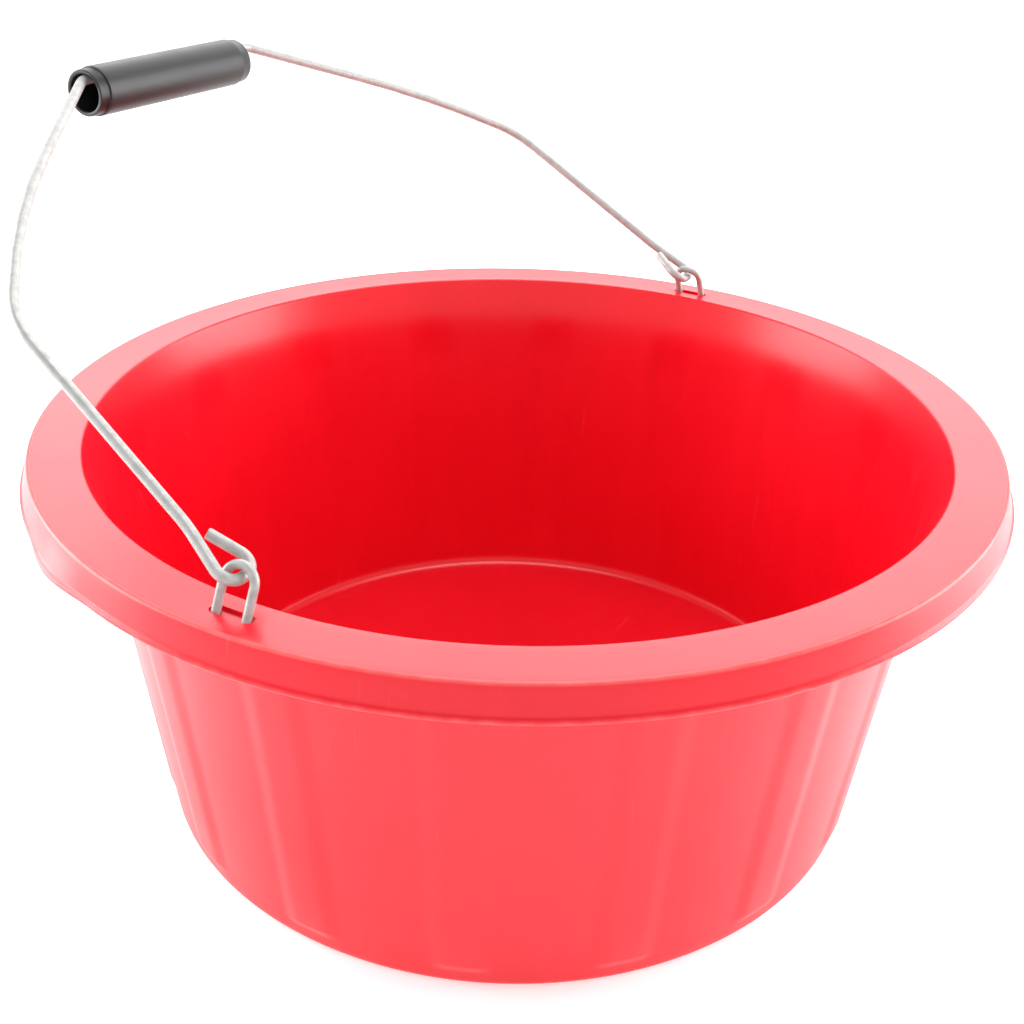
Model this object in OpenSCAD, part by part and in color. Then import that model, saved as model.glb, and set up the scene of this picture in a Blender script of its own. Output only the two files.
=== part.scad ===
// Shallow round wash bucket with a wire bail, two rim staples and a loose grip tube.
// Millimetres, +Z up. The origin is the centre of the foot ring, on the ground.
// +X runs from one staple to the other, so the bail swings about a line along X.

/* [Bucket] */
// Height from the ground to the top of the rim
total_h = 168; // [150:1:190]
// Diameter over the bead at the foot of the rim skirt
bead_d = 400; // [390:1:420]
// Radius of the outer edge of the flat rim
rim_r = 196.2; // [192:0.1:200]
// Radius of the outside of the wall, carried down to the ground
wall_base_r = 154.4; // [148:0.1:158]
// Slope of the wall from upright
wall_draft = 6.6; // [4:0.1:7]
// Thickness of the moulded wall
wall_t = 2; // [1.6:0.1:2.4]
// Height of the top of the floor inside
floor_z = 7.5; // [6:0.5:12]
// Radius of the inside of the foot ring
foot_in_r = 143; // [130:1:145]
// Rounding of the outside lower corner
foot_round = 4.5; // [2:0.5:6]
// Radius of the mouth, where the flat rim meets the flared top of the wall
mouth_r = 175.9; // [174:0.1:176.4]
// Height where the wall starts to flare out towards the mouth
flare_z = 151; // [146:1:153]
// Rounding of the mouth's edge
mouth_round = 1.2; // [0.8:0.1:1.6]

/* [Ribs] */
// Number of upright ribs pressed out of the wall
rib_count = 16; // [8:4:24]
// Width of one rib, as an angle about the centre
rib_angle = 7; // [4:0.5:9]
// Height that a rib stands out of the wall
rib_h = 1.2; // [0.6:0.1:1.4]

/* [Rim] */
// Thickness of the flat rim
flange_t = 2.2; // [1.8:0.1:3]
// Depth of the skirt below the top of the rim
skirt_h = 13; // [10:0.5:16]
// Thickness of the skirt
skirt_t = 1.8; // [1.4:0.1:2.2]
// Slope of the skirt from upright
skirt_draft = 15; // [10:0.5:16]
// Radius of the bead round the foot of the skirt
bead_round = 1.3; // [1:0.1:1.5]

/* [Staples] */
// Diameter of the staple wire
staple_d = 3.2; // [2.8:0.1:3.3]
// Distance from the centre to the legs, where they enter the rim
staple_r = 185; // [184.4:0.1:185.2]
// Distance between the two legs, centre to centre
staple_gap = 12.2; // [12:0.1:12.8]
// Height of the centre of the crown above the rim
crown_h = 14.2; // [14:0.1:15]
// Lean of a staple towards the centre
staple_tilt = 26; // [25:1:28]
// Length of each clinched foot under the rim
foot_len = 8; // [5:0.5:10]

/* [Bail] */
// Diameter of the bail wire
bail_d = 4; // [3.4:0.1:4.1]
// Height of the pivot line above the rim
pivot_h = 10; // [9.6:0.1:10.2]
// Lean of the bail from upright, in the stored pose
bail_lean = 57.3; // [0:0.1:80]
// Distance from the pivot line to the wire inside the grip
bail_reach = 209.2; // [206:0.1:215]
// Half the length of the straight run that carries the grip
grip_run = 51; // [50:0.5:56]
// Bend radius of the eye round each staple
eye_r = 5.4; // [5:0.1:5.6]

/* [Grip] */
// Outside diameter of the grip
grip_d = 20; // [18:0.5:22]
// Bore of the grip
grip_bore_d = 15; // [13:0.5:15.5]
// Length of the grip
grip_len = 94; // [80:1:96]
// Distance that the grip has slid along the wire
grip_slide = -3.7; // [-4:0.1:4]

/* [Hidden] */
$fn = 96;

bucket_red = [0.86, 0.05, 0.08];
wire_grey = [0.78, 0.79, 0.78];
grip_black = [0.06, 0.06, 0.06];

// Section of the bucket
floor_t = 2.6;
floor_fillet = 4;
edge_round = 1.4;
bead_end = 75;
bead_step = 0.4;
flange_z = total_h - flange_t;
skirt_z = total_h - skirt_h;
bead_r = bead_d / 2;
shell_facets = 180;
over = 1;

// Limits in height of the ribs outside and of their grooves inside
rib_low_z = 9;
groove_low_z = floor_z + floor_fillet + 1;
groove_top_z = flare_z + 8;

// Staple holes and the pocket between them, then the staple's own bends
pocket_w = 4.6;
pocket_deep = 0.5;
leg_clear = 0.05;
hole_below = 3 * flange_t;
hole_len = 5 * flange_t;
foot_air = 0.3;
foot_bend_r = 2.4;
crown_flat = 0.1;

// Wires, as many-sided sweeps
wire_sides = 16;
bend_step = 12;
shoulder_r = 36;
knee_r = 50;
bow_r = 320;
corner_r = 12;

pivot_z = total_h + pivot_h;
// The grip hangs on the wire, with a little air left between the two
grip_air = 0.3;
grip_hang = (grip_bore_d - bail_d) / 2 - grip_air;
collar_len = 5;
collar_step = 0.7;
collar_chamfer = 0.5;
collar_slope = 0.4;
bore_flare = 0.8;

// Radius of the outside and of the inside of the wall at a height
function wall_out(z) = wall_base_r + z * tan(wall_draft);
function wall_in(z) = wall_out(z) - wall_t / cos(wall_draft);
// Slope of the flared top of the wall, and the radius of its inside at a height
flare_draft = atan((mouth_r - wall_in(flare_z)) / (total_h - flare_z));
function flare_in(z) = mouth_r - (total_h - z) * tan(flare_draft);
// Radius of the outside of the skirt at a height
function skirt_out(z) = rim_r + (total_h - z) * tan(skirt_draft);

// Points of an arc about a centre, from one angle to another
function arc(centre, r, from, to, steps) =
    [for (i = [0:steps])
        let (a = from + (to - from) * i / steps)
        centre + r * [cos(a), sin(a)]];

// Centres of the three fillets that touch the sloping wall
foot_centre = [wall_out(foot_round) - foot_round / cos(wall_draft), foot_round];
floor_fillet_z = floor_z + floor_fillet;
floor_centre = [wall_in(floor_fillet_z) - floor_fillet / cos(wall_draft), floor_fillet_z];
mouth_z = total_h - mouth_round;
mouth_centre = [flare_in(mouth_z) + mouth_round / cos(flare_draft), mouth_z];
flare_out_r = flare_in(flange_z) + wall_t / cos(flare_draft);
bead_centre = [bead_r - bead_round, skirt_z + bead_round];
bead_top_z = skirt_z + 2 * bead_round + bead_step;
edge_centre = [skirt_out(total_h - edge_round) - edge_round / cos(skirt_draft), total_h - edge_round];

// Half section of the bucket, anticlockwise from the middle of its underside
shell_section = concat(
    [[0, floor_z - floor_t], [foot_in_r - over, floor_z - floor_t], [foot_in_r, 0]],
    arc(foot_centre, foot_round, -90, -wall_draft, 6),
    [[wall_out(flare_z), flare_z], [flare_out_r, flange_z], [skirt_out(flange_z) - skirt_t, flange_z]],
    [[skirt_out(skirt_z) - skirt_t, skirt_z]],
    arc(bead_centre, bead_round, -90, bead_end, 8),
    [[skirt_out(bead_top_z), bead_top_z]],
    arc(edge_centre, edge_round, skirt_draft, 90, 5),
    arc(mouth_centre, mouth_round, 90, 180 - flare_draft, 6),
    [[wall_in(flare_z), flare_z]],
    arc(floor_centre, floor_fillet, -wall_draft, -90, 6),
    [[0, floor_z]]
);

// A wire runs through corner points in the XY plane and is bent at each inner corner
function turn_at(a, b, c) = acos((b - a) * (c - b) / norm(b - a) / norm(c - b));
function side_of(a, b, c) = (b - a).x * (c - b).y - (b - a).y * (c - b).x > 0 ? 1 : -1;
function heading(a, b) = atan2((b - a).y, (b - a).x);
function across(angle) = [-sin(angle), cos(angle)];

// Stations [point, heading] round the bend at b, of radius r, on the way from a to c
function bend_stations(a, b, c, r) =
    let (
        turn = turn_at(a, b, c),
        side = side_of(a, b, c),
        from = heading(a, b),
        start = b - (b - a) / norm(b - a) * r * tan(turn / 2),
        centre = start + side * r * across(from),
        steps = max(4, ceil(turn / bend_step))
    )
    [for (i = [0:steps]) let (h = from + side * turn * i / steps) [centre - side * r * across(h), h]];

// Stations along a whole wire
function wire_stations(points, radii) =
    let (last = len(points) - 1)
    concat(
        [[points[0], heading(points[0], points[1])]],
        [for (i = [1:last - 1]) each bend_stations(points[i - 1], points[i], points[i + 1], radii[i])],
        [[points[last], heading(points[last - 1], points[last])]]
    );

// Round wire of diameter d, swept through its stations
module wire(points, radii, d) {
    stations = wire_stations(points, radii);
    last = len(stations) - 1;
    rings = [for (s = stations) for (k = [0:wire_sides - 1])
        let (a = k * 360 / wire_sides, n = across(s[1]))
        [s[0].x + d / 2 * cos(a) * n.x, s[0].y + d / 2 * cos(a) * n.y, d / 2 * sin(a)]];
    skin = [for (i = [0:last - 1]) for (k = [0:wire_sides - 1])
        let (next = (k + 1) % wire_sides, low = i * wire_sides, high = low + wire_sides)
        [low + k, high + k, high + next, low + next]];
    caps = [
        [for (k = [0:wire_sides - 1]) k],
        [for (k = [wire_sides - 1:-1:0]) last * wire_sides + k]
    ];
    polyhedron(points = rings, faces = concat(skin, caps), convexity = 10);
}

// Places a staple's own frame on the rim: side 1 is at +X and side -1 at -X
module at_staple(side) {
    rotate([0, 0, side > 0 ? 0 : 180])
        translate([staple_r, 0, total_h])
        rotate([0, -staple_tilt, 0])
        children();
}

// One upright band of the wall, a sector between two radii at each height
module band(inner, outer, low, high) {
    rotate([0, 0, -rib_angle / 2]) rotate_extrude(angle = rib_angle) polygon([
        [wall_out(low) + inner, low], [wall_out(low) + outer, low],
        [wall_out(high) + outer, high], [wall_out(high) + inner, high]
    ]);
}

// Holes for the legs of one staple and the shallow pocket between them
module staple_seat(side) {
    at_staple(side) for (y = [-staple_gap / 2, staple_gap / 2])
        translate([0, y, -hole_below]) cylinder(d = staple_d + 2 * leg_clear, h = hole_len);
    rotate([0, 0, side > 0 ? 0 : 180]) translate([staple_r, 0, total_h - pocket_deep]) {
        translate([-pocket_w / 2, -staple_gap / 2, 0]) cube([pocket_w, staple_gap, over]);
        for (y = [-staple_gap / 2, staple_gap / 2]) translate([0, y, 0]) cylinder(d = pocket_w, h = over);
    }
}

module bucket_shell() {
    groove_in = -wall_t / cos(wall_draft) - over;
    groove_out = -wall_t / cos(wall_draft) + rib_h;
    color(bucket_red) difference() {
        union() {
            rotate_extrude($fn = shell_facets) polygon(shell_section);
            for (i = [0:rib_count - 1]) rotate([0, 0, i * 360 / rib_count])
                band(-wall_t / 2, rib_h, rib_low_z, flange_z + flange_t / 2);
        }
        for (i = [0:rib_count - 1]) rotate([0, 0, i * 360 / rib_count])
            band(groove_in, groove_out, groove_low_z, groove_top_z);
        staple_seat(1);
        staple_seat(-1);
    }
}

// Arched staple: two legs through the rim with their feet clinched outwards below it
module staple(side) {
    half = staple_gap / 2;
    crown = crown_h / cos(staple_tilt);
    foot = -(flange_t + staple_d / 2 + foot_air) / cos(staple_tilt);
    crown_r = half - crown_flat;
    color(wire_grey) at_staple(side) rotate([90, 0, 90]) wire(
        [
            [-half - foot_len, foot], [-half, foot], [-half, crown],
            [half, crown], [half, foot], [half + foot_len, foot]
        ],
        [0, foot_bend_r, crown_r, crown_r, foot_bend_r, 0],
        staple_d
    );
}

module staple_left() { staple(-1); }

module staple_right() { staple(1); }

// Corners of one half of the bail, in its own plane, from the cut end of the eye up
eye_tip = [175.9, 18.6];
eye_inner = [169.4, 0];
eye_outer = [186.3, 0];
knee = [179.6, 24];
shoulder = [169.5, 116];
bow = [134, 154.5];
grip_corner = [grip_run, bail_reach];
half_points = [eye_tip, eye_inner, eye_outer, knee, shoulder, bow, grip_corner];
half_radii = [0, eye_r, eye_r, knee_r, shoulder_r, bow_r, corner_r];

// Puts the bail's plane in its stored pose, leaning towards +Y
module bail_plane() {
    translate([0, 0, pivot_z]) rotate([90 - bail_lean, 0, 0]) children();
}

module bail_wire() {
    last = len(half_points) - 1;
    left = [for (p = half_points) [-p.x, p.y]];
    right = [for (i = [last:-1:0]) half_points[i]];
    radii = concat(half_radii, [for (i = [last:-1:0]) half_radii[i]]);
    color(wire_grey) bail_plane() wire(concat(left, right), radii, bail_d);
}

// Plain tube with a stepped collar at each end, lying along X below the wire
module grip_tube() {
    r = grip_d / 2;
    bore = grip_bore_d / 2;
    half_outline = [
        [bore, grip_len / 2 - bore_flare], [bore + bore_flare, grip_len / 2],
        [r - collar_step - collar_chamfer, grip_len / 2], [r - collar_step, grip_len / 2 - collar_chamfer],
        [r - collar_step, grip_len / 2 - collar_len], [r, grip_len / 2 - collar_len - collar_slope]
    ];
    other_half = [for (i = [len(half_outline) - 1:-1:0]) [half_outline[i].x, -half_outline[i].y]];
    grip_z = pivot_z + bail_reach * cos(bail_lean) - grip_hang;
    color(grip_black)
        translate([grip_slide, bail_reach * sin(bail_lean), grip_z])
        rotate([0, 90, 0]) rotate_extrude() polygon(concat(half_outline, other_half));
}

bucket_shell();
staple_left();
staple_right();
bail_wire();
grip_tube();
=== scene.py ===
"""Wash bucket: a red moulded bucket with a wire bail, two rim staples and a loose black grip.

Lengths are metres and angles are radians, unless a name says otherwise. +Z is up, the origin is the centre of
the foot ring on the ground, and the bail swings about a line along X.
"""

import sys

import logging
import math
from collections.abc import Mapping, Sequence
from dataclasses import dataclass, field
from enum import Enum
from typing import Any

import bmesh
import bpy
from mathutils import Matrix, Vector


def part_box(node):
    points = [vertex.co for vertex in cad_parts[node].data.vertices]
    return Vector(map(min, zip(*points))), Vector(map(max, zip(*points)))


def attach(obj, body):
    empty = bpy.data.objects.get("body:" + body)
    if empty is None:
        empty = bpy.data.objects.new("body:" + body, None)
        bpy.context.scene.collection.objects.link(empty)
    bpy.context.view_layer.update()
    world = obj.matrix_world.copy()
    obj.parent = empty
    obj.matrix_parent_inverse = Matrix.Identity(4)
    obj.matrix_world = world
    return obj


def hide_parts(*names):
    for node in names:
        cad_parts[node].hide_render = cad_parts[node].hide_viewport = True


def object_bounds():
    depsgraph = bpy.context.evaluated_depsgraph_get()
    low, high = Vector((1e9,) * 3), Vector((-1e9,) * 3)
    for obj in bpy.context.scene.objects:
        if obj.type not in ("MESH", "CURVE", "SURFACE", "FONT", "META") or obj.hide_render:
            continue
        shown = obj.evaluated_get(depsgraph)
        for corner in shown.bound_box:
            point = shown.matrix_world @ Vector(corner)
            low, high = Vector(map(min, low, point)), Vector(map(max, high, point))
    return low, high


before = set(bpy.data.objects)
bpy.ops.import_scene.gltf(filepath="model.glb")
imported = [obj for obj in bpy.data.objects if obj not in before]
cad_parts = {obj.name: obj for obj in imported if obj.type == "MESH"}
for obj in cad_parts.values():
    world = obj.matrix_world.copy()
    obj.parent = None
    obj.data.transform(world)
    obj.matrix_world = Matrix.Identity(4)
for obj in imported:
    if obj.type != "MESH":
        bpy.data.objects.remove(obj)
CAD_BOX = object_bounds()

MM = 0.001
TURN = math.tau
WELD = 0.01 * MM

log = logging.getLogger("wash_bucket")


class Body(str, Enum):
    """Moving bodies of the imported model."""

    BUCKET = "bucket"
    BAIL = "bail"
    GRIP = "grip"


class Slot(str, Enum):
    """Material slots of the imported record."""

    PLASTIC = "bucket_plastic"
    WIRE = "galvanised_wire"
    GRIP = "grip_plastic"


class Side(Enum):
    """Which end of the pivot line a staple stands at."""

    LEFT = -1
    RIGHT = 1


# --------------------------------------------------------------------------------------------------
# Node helpers
# --------------------------------------------------------------------------------------------------


class Bench:
    """Adds nodes to one shader or geometry tree."""

    def __init__(self, tree: bpy.types.NodeTree) -> None:
        """Starts on an existing tree.

        Args:
            tree: the tree that gets the nodes.
        """
        self.tree = tree

    def node(
        self, kind: str, settings: Mapping[str, Any] | None = None, sockets: Mapping[Any, Any] | None = None
    ) -> bpy.types.Node:
        """Adds one node.

        Args:
            kind: the node's type name.
            settings: its properties, set before its sockets.
            sockets: a value, a Signal or an output socket for each input, by name or index.

        Returns:
            The new node.
        """
        made = self.tree.nodes.new(kind)
        for name, value in (settings or {}).items():
            setattr(made, name, value)
        for key, feed in (sockets or {}).items():
            self.feed(made.inputs[key], feed)
        return made

    def feed(self, socket: bpy.types.NodeSocket, value: Any) -> None:
        """Links or sets one input.

        Args:
            socket: the input.
            value: a Signal, an output socket, or a plain value.
        """
        if isinstance(value, Signal):
            self.tree.links.new(value.socket, socket)
        elif isinstance(value, bpy.types.NodeSocket):
            self.tree.links.new(value, socket)
        else:
            socket.default_value = value

    def signal(
        self, kind: str, settings: Mapping[str, Any] | None, sockets: Mapping[Any, Any], out: Any = 0
    ) -> "Signal":
        """Adds a node and wraps one of its outputs.

        Args:
            kind: the node's type name.
            settings: its properties.
            sockets: its inputs.
            out: name or index of the output wanted.

        Returns:
            The output as a Signal.
        """
        return Signal(self, self.node(kind, settings, sockets).outputs[out])


@dataclass(frozen=True)
class Signal:
    """A number socket that can be used in Python expressions."""

    bench: Bench
    socket: bpy.types.NodeSocket

    def _maths(self, operation: str, *values: Any) -> "Signal":
        """Adds one Math node.

        Args:
            operation: the node's operation.
            values: its inputs, in order.

        Returns:
            The node's result.
        """
        return self.bench.signal("ShaderNodeMath", {"operation": operation}, dict(enumerate(values)))

    def __add__(self, other: Any) -> "Signal":
        """self + other."""
        return self._maths("ADD", self, other)

    def __radd__(self, other: Any) -> "Signal":
        """other + self."""
        return self._maths("ADD", other, self)

    def __sub__(self, other: Any) -> "Signal":
        """self - other."""
        return self._maths("SUBTRACT", self, other)

    def __rsub__(self, other: Any) -> "Signal":
        """other - self."""
        return self._maths("SUBTRACT", other, self)

    def __mul__(self, other: Any) -> "Signal":
        """self * other."""
        return self._maths("MULTIPLY", self, other)

    def __rmul__(self, other: Any) -> "Signal":
        """other * self."""
        return self._maths("MULTIPLY", other, self)

    def __truediv__(self, other: Any) -> "Signal":
        """self / other."""
        return self._maths("DIVIDE", self, other)

    def __rtruediv__(self, other: Any) -> "Signal":
        """other / self."""
        return self._maths("DIVIDE", other, self)

    def __mod__(self, other: Any) -> "Signal":
        """self wrapped into the range from 0 to other."""
        return self._maths("FLOORED_MODULO", self, other)

    def __abs__(self) -> "Signal":
        """Size of self, whatever its sign."""
        return self._maths("ABSOLUTE", self)

    def root(self) -> "Signal":
        """Square root."""
        return self._maths("SQRT", self)

    def angle_from(self, other: "Signal") -> "Signal":
        """Angle of the point (other, self) about the origin."""
        return self._maths("ARCTAN2", self, other)

    def step(self, low: Any, high: Any) -> "Signal":
        """A soft step, 0 at low and 1 at high. low may be the larger.

        Args:
            low: where the step is 0.
            high: where the step is 1.

        Returns:
            The step's value, from 0 to 1.
        """
        return self.bench.signal(
            "ShaderNodeMapRange",
            {"interpolation_type": "SMOOTHSTEP", "clamp": True},
            {"Value": self, "From Min": low, "From Max": high, "To Min": 0.0, "To Max": 1.0},
        )


def rule_tree(name: str, inputs: Mapping[str, str]) -> tuple[Bench, dict[str, Signal]]:
    """Starts a Geometry Nodes tree with named inputs.

    Args:
        name: the tree's name.
        inputs: socket type for each named size.

    Returns:
        The bench for the tree, and its inputs by name, with the geometry under "Geometry".
    """
    tree = bpy.data.node_groups.new(name, "GeometryNodeTree")
    tree.interface.new_socket("Geometry", in_out="INPUT", socket_type="NodeSocketGeometry")
    for label, kind in inputs.items():
        tree.interface.new_socket(label, in_out="INPUT", socket_type=kind)
    tree.interface.new_socket("Geometry", in_out="OUTPUT", socket_type="NodeSocketGeometry")
    bench = Bench(tree)
    entry = bench.node("NodeGroupInput")
    return bench, {s.name: Signal(bench, s) for s in entry.outputs if s.name}


def close_tree(bench: Bench, geometry: Signal, finish: Signal) -> None:
    """Ends a tree in Realize Instances, Set Material and the output.

    Args:
        bench: the tree's bench.
        geometry: the finished geometry.
        finish: the material input.
    """
    smooth = bench.signal("GeometryNodeSetShadeSmooth", None, {"Geometry": geometry})
    real = bench.signal("GeometryNodeRealizeInstances", None, {"Geometry": smooth})
    dressed = bench.signal("GeometryNodeSetMaterial", None, {"Geometry": real, "Material": finish})
    bench.node("NodeGroupOutput", None, {"Geometry": dressed})


def grow(name: str, seed: bpy.types.Mesh, bench: Bench, sizes: Mapping[str, Any]) -> bpy.types.Object:
    """Runs a Geometry Nodes tree on a mesh and keeps the result as a plain mesh.

    Args:
        name: the finished piece's name.
        seed: the mesh that goes in, such as a section or a path.
        bench: the tree's bench.
        sizes: a value for each named input.

    Returns:
        The finished piece, with no modifier.
    """
    piece = bpy.data.objects.new(name, seed)
    bpy.context.scene.collection.objects.link(piece)
    modifier = piece.modifiers.new("rule", "NODES")
    modifier.node_group = bench.tree
    for item in bench.tree.interface.items_tree:
        if item.in_out == "INPUT" and item.name in sizes:
            modifier[item.identifier] = sizes[item.name]
    depsgraph = bpy.context.evaluated_depsgraph_get()
    made = bpy.data.meshes.new_from_object(
        piece.evaluated_get(depsgraph), preserve_all_data_layers=True, depsgraph=depsgraph
    )
    piece.modifiers.remove(modifier)
    piece.data = made
    made.name = name
    bpy.data.meshes.remove(seed)
    return piece


# --------------------------------------------------------------------------------------------------
# Shape helpers
# --------------------------------------------------------------------------------------------------


@dataclass(frozen=True)
class SectionPoint:
    """One point of a turned section, with its share of each rule that moves it."""

    r: float
    z: float
    rib: float = 0.0
    nick: float = 0.0


@dataclass(frozen=True)
class Corner:
    """One corner of a bent wire's centre line, in the wire's own plane."""

    u: float
    v: float
    bend: float = 0.0


def arc_points(
    centre: tuple[float, float], r: float, start: float, end: float, steps: int
) -> list[tuple[float, float]]:
    """Points along an arc.

    Args:
        centre: the arc's centre.
        r: its radius.
        start: first angle, in degrees.
        end: last angle, in degrees.
        steps: how many parts it has.

    Returns:
        steps + 1 points.
    """
    turns = [math.radians(start + (end - start) * i / steps) for i in range(steps + 1)]
    return [(centre[0] + r * math.cos(a), centre[1] + r * math.sin(a)) for a in turns]


def line_points(
    start: tuple[float, float], end: tuple[float, float], steps: int
) -> list[tuple[float, float]]:
    """Points strictly between two ends of a straight line.

    Args:
        start: first end, left out.
        end: last end, left out.
        steps: how many parts the line has.

    Returns:
        steps - 1 points.
    """
    return [
        (start[0] + (end[0] - start[0]) * i / steps, start[1] + (end[1] - start[1]) * i / steps)
        for i in range(1, steps)
    ]


def chain_mesh(
    name: str, points: Sequence[Vector], closed: bool, shares: Mapping[str, Sequence[float]]
) -> bpy.types.Mesh:
    """A mesh of edges only, which goes into a tree as a section or a path.

    Args:
        name: the mesh's name.
        points: its points, in order.
        closed: whether the last point joins the first.
        shares: named numbers for each point.

    Returns:
        The mesh.
    """
    count = len(points)
    edges = [(i, i + 1) for i in range(count - 1)] + ([(count - 1, 0)] if closed else [])
    mesh = bpy.data.meshes.new(name)
    mesh.from_pydata([tuple(p) for p in points], edges, [])
    for label, values in shares.items():
        mesh.attributes.new(label, "FLOAT", "POINT").data.foreach_set("value", list(values))
    return mesh


def bent_path(corners: Sequence[Corner], step: float) -> list[tuple[float, float]]:
    """Rounds the corners of a wire's centre line.

    Args:
        corners: the corners, from one end to the other.
        step: largest angle between two points of a bend.

    Returns:
        Points along the rounded line.
    """
    path = [(corners[0].u, corners[0].v)]
    for before, corner, after in zip(corners, corners[1:], corners[2:]):
        into = Vector((corner.u - before.u, corner.v - before.v)).normalized()
        out = Vector((after.u - corner.u, after.v - corner.v)).normalized()
        turn = into.angle_signed(out) * -1.0
        cut = corner.bend * math.tan(abs(turn) / 2)
        start = Vector((corner.u, corner.v)) - into * cut
        side = math.copysign(1.0, turn)
        centre = start + Vector((-into.y, into.x)) * corner.bend * side
        steps = max(4, math.ceil(abs(turn) / step))
        for i in range(steps + 1):
            arm = start - centre
            arm.rotate(Matrix.Rotation(turn * i / steps, 2))
            path.append(tuple(centre + arm))
    return path + [(corners[-1].u, corners[-1].v)]


def tidy(piece: bpy.types.Object, crease_deg: float) -> None:
    """Merges doubles, turns faces outwards and marks creases as sharp.

    Args:
        piece: a finished closed piece.
        crease_deg: angle between two faces past which their edge is sharp.
    """
    made = bmesh.new()
    made.from_mesh(piece.data)
    bmesh.ops.remove_doubles(made, verts=made.verts, dist=WELD)
    bmesh.ops.dissolve_degenerate(made, edges=made.edges, dist=WELD / 10)
    bmesh.ops.recalc_face_normals(made, faces=made.faces)
    made.to_mesh(piece.data)
    made.free()
    piece.data.shade_smooth()
    piece.data.set_sharp_from_angle(angle=math.radians(crease_deg))


def mount(piece: bpy.types.Object, body: Body, slot: Slot, *nodes: str) -> bpy.types.Object:
    """Hangs a finished piece on its body in place of its CAD nodes.

    Args:
        piece: the piece, in place.
        body: the body that it moves with.
        slot: the record's material slot; not used.
        nodes: the CAD nodes that it stands for.

    Returns:
        The same piece.
    """
    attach(piece, body.value)
    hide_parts(*nodes)
    faces = sum(len(p.vertices) - 2 for p in piece.data.polygons)
    log.info("%s: %d triangles, on %s, for %s", piece.name, faces, body.value, ", ".join(nodes))
    return piece


# --------------------------------------------------------------------------------------------------
# Finishes
# --------------------------------------------------------------------------------------------------


def plain_material(name: str) -> tuple[bpy.types.Material, Bench, bpy.types.Node]:
    """Starts a material with one main shader.

    Args:
        name: the material's name.

    Returns:
        The material, the bench for its tree, and its main shader.
    """
    material = bpy.data.materials.new(name)
    material.use_nodes = True
    material.node_tree.nodes.clear()
    bench = Bench(material.node_tree)
    shader = bench.node("ShaderNodeBsdfPrincipled")
    bench.node("ShaderNodeOutputMaterial", None, {"Surface": shader.outputs["BSDF"]})
    return material, bench, shader


def noise(bench: Bench, place: Any, scale: float, detail: float = 2.0, seed: float = 0.0) -> Signal:
    """Smooth noise from 0 to 1.

    Args:
        bench: the material's bench.
        place: the vector that it follows.
        scale: how many features fit in a metre.
        detail: how many finer layers it has.
        seed: which of many patterns it is.

    Returns:
        The noise.
    """
    return bench.signal(
        "ShaderNodeTexNoise", {"noise_dimensions": "4D"},
        {"Vector": place, "W": seed, "Scale": scale, "Detail": detail},
    )


def blend(bench: Bench, share: Any, first: Any, second: Any) -> bpy.types.NodeSocket:
    """Mixes two colours.

    Args:
        bench: the material's bench.
        share: how much of the second there is.
        first: RGBA or a colour socket.
        second: RGBA or a colour socket.

    Returns:
        The mixed colour's socket.
    """
    made = bench.node("ShaderNodeMix", {"data_type": "RGBA"}, {0: share, 6: first, 7: second})
    return made.outputs[2]


def bump(bench: Bench, height: Any, depth: float, under: Any = None) -> bpy.types.NodeSocket:
    """Turns a height into a normal.

    Args:
        bench: the material's bench.
        height: the height pattern, from 0 to 1.
        depth: the real depth that 1 stands for.
        under: a normal that lies below it, if any.

    Returns:
        The normal's socket.
    """
    sockets = {"Strength": 1.0, "Distance": depth, "Height": height}
    if under is not None:
        sockets["Normal"] = under
    return bench.node("ShaderNodeBump", None, sockets).outputs[0]


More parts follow.
